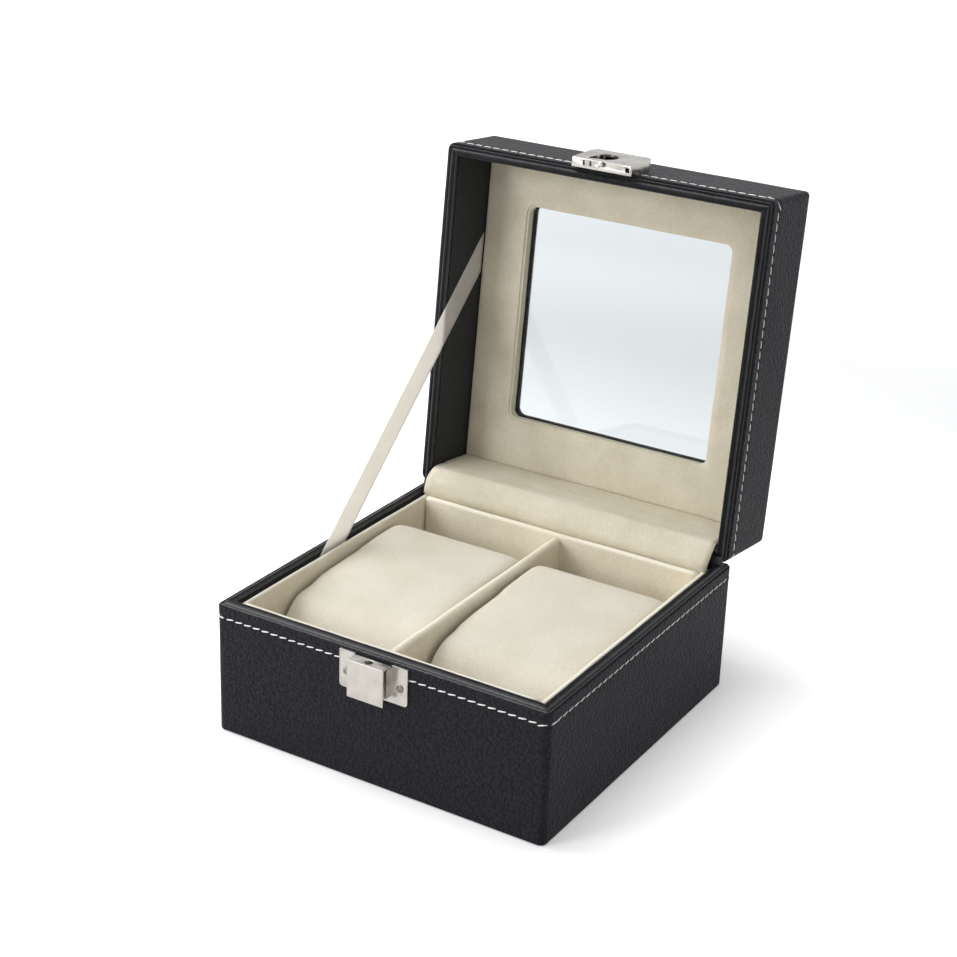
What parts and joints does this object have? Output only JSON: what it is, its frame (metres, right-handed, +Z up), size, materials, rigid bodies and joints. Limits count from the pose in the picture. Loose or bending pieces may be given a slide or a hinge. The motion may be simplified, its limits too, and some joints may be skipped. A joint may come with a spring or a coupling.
{
  "type": "watch travel case",
  "caption": "Square leather-covered travel case with a hinged window lid, a spring clasp, a stay ribbon and velvet watch pillows in two slots.",
  "frame": {"origin": "middle of the underside of the base", "axes": "+Z up, -Y towards the front with the clasp, +X to the right; the lid stands open at the back"},
  "size_m": [0.13, 0.1758, 0.1831],
  "materials": {
    "wall_board": "fibreboard faced with black paper, hidden under the leather",
    "pebbled_leather": "charcoal black pebbled imitation leather, low sheen",
    "rim_leather": "charcoal black soft leather over a thin pad, low sheen",
    "underside_felt": "black felt paper",
    "dark_lining": "black lining cloth, matt",
    "hinge_leather": "black thin leather",
    "velvet": "cream short-pile velvet",
    "pillow_velvet": "cream short-pile velvet, stuffed",
    "pillow_foam": "white foam, hidden in the pillow",
    "satin_ribbon": "cream satin ribbon",
    "nickel_plate": "nickel-plated sheet metal, softly polished",
    "bright_pin": "nickel-plated steel",
    "spring_steel": "spring wire",
    "window_glass": "clear flat glass"
  },
  "bodies": {
    "base": {"base_floor_board": "wall_board", "base_front_board": "wall_board", "base_rear_board": "wall_board", "base_left_board": "wall_board", "base_right_board": "wall_board", "base_wrap": "pebbled_leather", "base_underside_sheet": "underside_felt", "base_rim_front": "rim_leather", "base_rim_rear": "rim_leather", "base_rim_left": "rim_leather", "base_rim_right": "rim_leather", "floor_lining": "velvet", "front_lining": "velvet", "rear_lining": "velvet", "left_lining": "velvet", "right_lining": "velvet", "divider": "velvet", "latch_housing": "nickel_plate", "latch_rivets": "bright_pin", "latch_spring": "spring_steel", "hinge_strip": "hinge_leather", "hinge_flap": "velvet", "stay_ribbon": "satin_ribbon"},
    "lid": {"lid_top_board": "wall_board", "lid_front_board": "wall_board", "lid_rear_board": "wall_board", "lid_left_board": "wall_board", "lid_right_board": "wall_board", "lid_wrap": "pebbled_leather", "lid_rim_front": "rim_leather", "lid_rim_rear": "rim_leather", "lid_rim_left": "rim_leather", "lid_rim_right": "rim_leather", "lid_side_lining": "dark_lining", "lid_panel": "velvet", "window_glass": "window_glass", "hasp_plate": "nickel_plate", "hasp_striker": "bright_pin"},
    "latch_button": {"latch_button": "nickel_plate", "latch_guide_pin": "bright_pin"},
    "pillow_left": {"pillow_left_cover": "pillow_velvet", "pillow_left_core": "pillow_foam"},
    "pillow_right": {"pillow_right_cover": "pillow_velvet", "pillow_right_core": "pillow_foam"}
  },
  "joints": [
    {"name": "lid_hinge", "type": "hinge", "parent": "base", "child": "lid", "pos_m": [0, 0.06245, 0.0524], "axis": [-1, 0, 0], "range_deg": [-96, 0], "deforming": ["hinge_strip", "hinge_flap", "stay_ribbon"]},
    {"name": "button_push", "type": "slide", "parent": "base", "child": "latch_button", "axis": [0, 1, 0], "range_m": [0, 0.001], "stiffness_N_per_m": 900, "springref_m": -0.001, "deforming": ["latch_spring"]},
    {"name": "pillow_left_lift", "type": "slide", "parent": "base", "child": "pillow_left", "axis": [0, 0, 1], "range_m": [0, 0.026]},
    {"name": "pillow_right_lift", "type": "slide", "parent": "base", "child": "pillow_right", "axis": [0, 0, 1], "range_m": [0, 0.026]}
  ]
}
